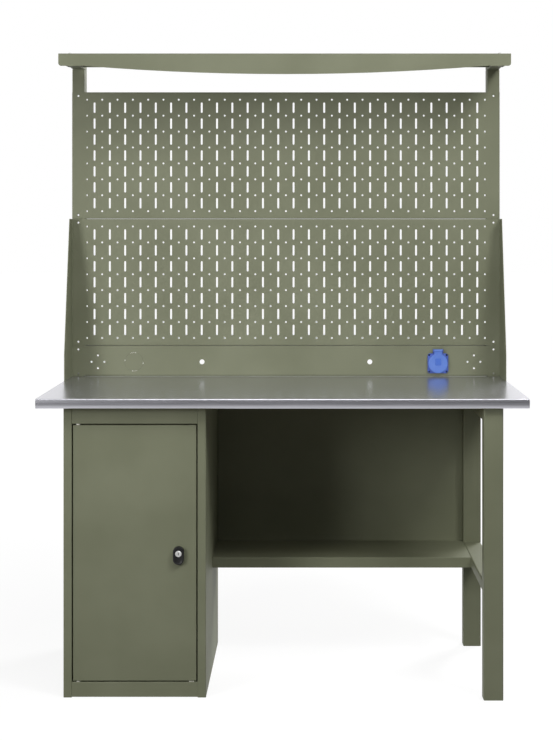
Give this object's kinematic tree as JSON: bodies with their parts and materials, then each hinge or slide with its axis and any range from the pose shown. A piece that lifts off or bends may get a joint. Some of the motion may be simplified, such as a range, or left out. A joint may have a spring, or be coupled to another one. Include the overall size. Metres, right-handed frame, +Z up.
{
  "type": "workbench with pegboard",
  "caption": "Steel workbench with a locking door cabinet, leg frame, under-shelf, slotted tool panels on posts, a service panel with a lidded socket, side gussets and a shallow canopy.",
  "frame": {"origin": "on the floor under the middle of the worktop", "axes": "+X to the right as seen from the front, +Y to the back, +Z up"},
  "size_m": [1.4, 0.7, 1.887],
  "materials": {
    "olive_paint": "fine powder coat",
    "worktop_steel": "satin",
    "board_core": "raw chipboard",
    "zinc_steel": "zinc plated",
    "nickel": "satin nickel",
    "black_plastic": "fine grain",
    "nylon": "natural",
    "rubber": "matt",
    "socket_plastic": "moulded satin",
    "grey_plastic": "moulded"
  },
  "bodies": {
    "bench": {"cabinet_back": "olive_paint", "cabinet_floor": "olive_paint", "cabinet_left_side": "olive_paint", "cabinet_right_side": "olive_paint", "cabinet_roof": "olive_paint", "cabinet_shelf": "olive_paint", "cabinet_top_rail": "olive_paint", "canopy_hood": "olive_paint", "canopy_left_end": "olive_paint", "canopy_right_end": "olive_paint", "canopy_screws": "zinc_steel", "door_buffers": "rubber", "door_glide": "nylon", "front_leg": "olive_paint", "left_canopy_arm": "olive_paint", "left_gusset": "olive_paint", "left_post": "olive_paint", "leg_end_plugs": "black_plastic", "lid_pin": "zinc_steel", "lid_spring": "zinc_steel", "lower_pegboard": "olive_paint", "mid_side_rail": "olive_paint", "modesty_bolts": "zinc_steel", "modesty_panel": "olive_paint", "pivot_pins": "zinc_steel", "pivot_washers": "nylon", "post_bolts": "zinc_steel", "post_feet": "zinc_steel", "post_nuts": "zinc_steel", "rear_leg": "olive_paint", "right_canopy_arm": "olive_paint", "right_gusset": "olive_paint", "right_post": "olive_paint", "service_panel": "olive_paint", "shelf_clips": "zinc_steel", "socket_base": "socket_plastic", "socket_box": "grey_plastic", "socket_insert": "grey_plastic", "socket_screws": "zinc_steel", "top_side_rail": "olive_paint", "under_shelf": "olive_paint", "upper_pegboard": "olive_paint", "worktop_core": "board_core", "worktop_cover": "worktop_steel", "worktop_screws": "zinc_steel"},
    "door": {"door_panel": "olive_paint", "door_stiffener": "olive_paint", "door_pivot_plates": "zinc_steel", "lock_pull": "black_plastic", "lock_housing": "nickel", "lock_nut": "zinc_steel"},
    "lock_rotor": {"lock_core": "nickel", "lock_cam": "zinc_steel", "cam_screw": "zinc_steel"},
    "lid": {"socket_lid": "socket_plastic"}
  },
  "joints": [
    {"name": "door_hinge", "type": "hinge", "parent": "bench", "child": "door", "pos_m": [-0.5855, -0.292, 0.41], "axis": [0, 0, -1], "range_deg": [0, 110]},
    {"name": "lock_turn", "type": "hinge", "parent": "door", "child": "lock_rotor", "pos_m": [-0.298, -0.3, 0.4135], "axis": [0, -1, 0], "range_deg": [0, 90]},
    {"name": "lid_hinge", "type": "hinge", "parent": "bench", "child": "lid", "pos_m": [0.496, 0.2875, 0.9449], "axis": [-1, 0, 0], "range_deg": [0, 110], "stiffness_Nm_per_rad": 0.01}
  ]
}
